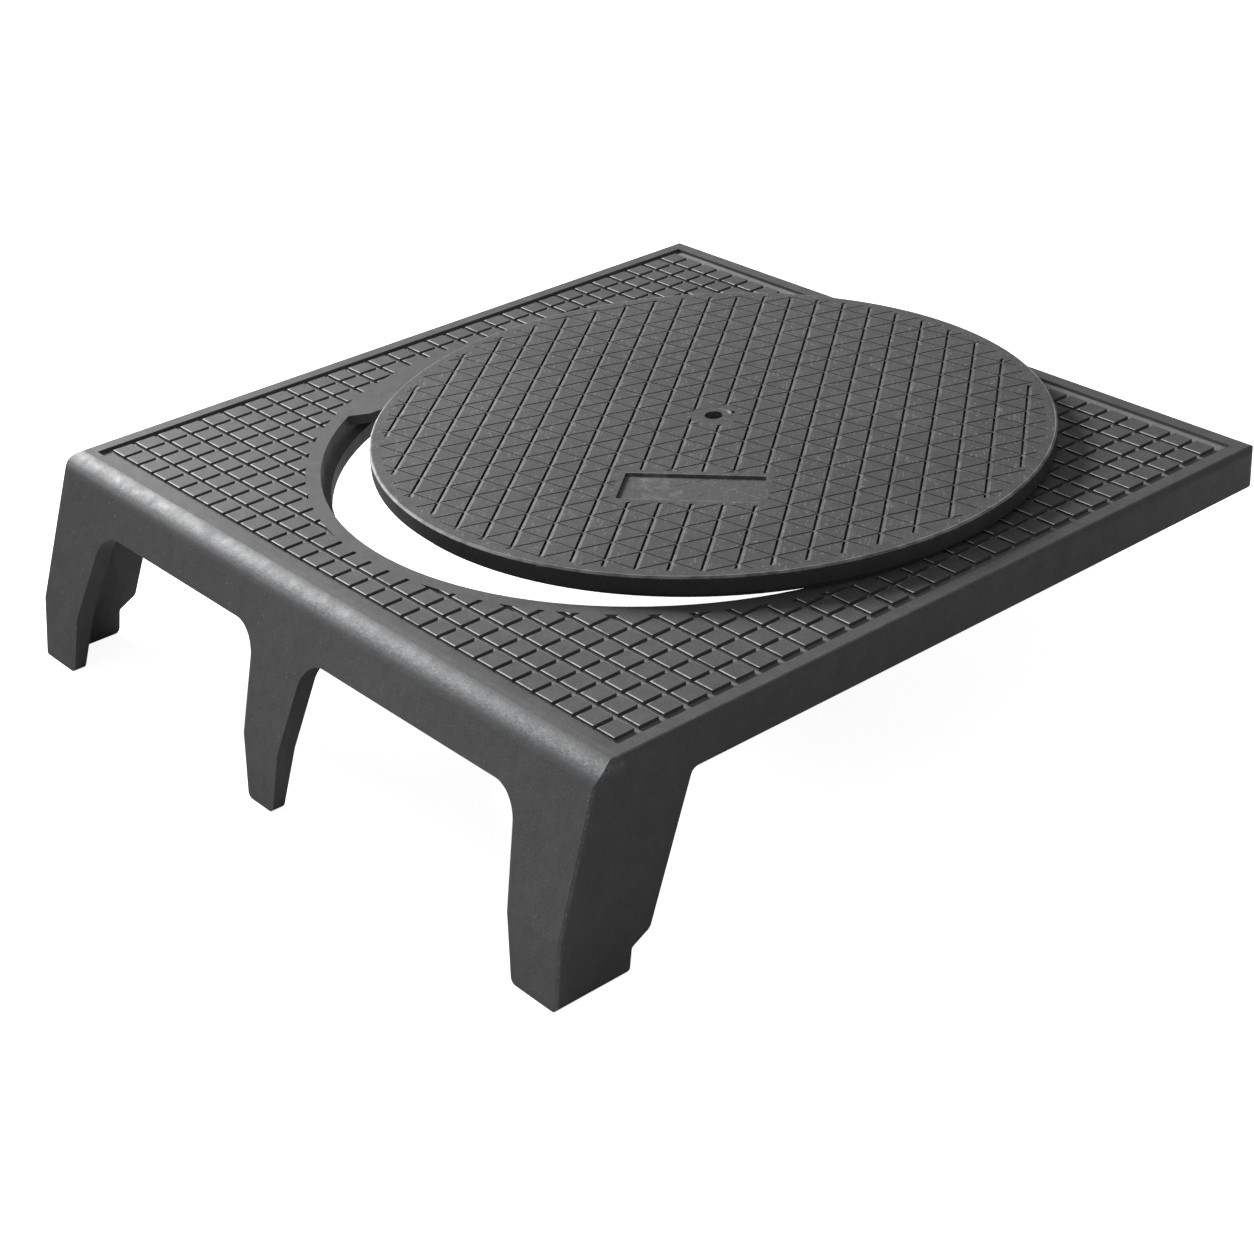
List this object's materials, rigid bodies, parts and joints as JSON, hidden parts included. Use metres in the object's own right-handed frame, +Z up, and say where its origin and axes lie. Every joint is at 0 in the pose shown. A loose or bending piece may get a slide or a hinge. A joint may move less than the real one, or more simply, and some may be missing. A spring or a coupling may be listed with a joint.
{
  "type": "kerb inlet gully top with a round access cover",
  "caption": "Cast-iron kerb inlet frame: studded top plate on three front legs with a round opening, and its loose round access cover lying pushed aside on it.",
  "frame": {"origin": "on the ground under the middle of the whole part's footprint, level with the soles of the legs", "axes": "+X to the right along the kerb as seen from the road, +Y from the road to the back of the frame, +Z up"},
  "size_m": [0.75, 0.782, 0.202],
  "materials": {
    "frame_iron": "black bitumen paint on cast iron, semi-matt, worn on the nosing and the studs",
    "cover_iron": "black bitumen paint on cast iron, semi-matt, worn along the top edge"
  },
  "bodies": {
    "root": {"frame": "frame_iron", "cover": "cover_iron"}
  },
  "joints": []
}
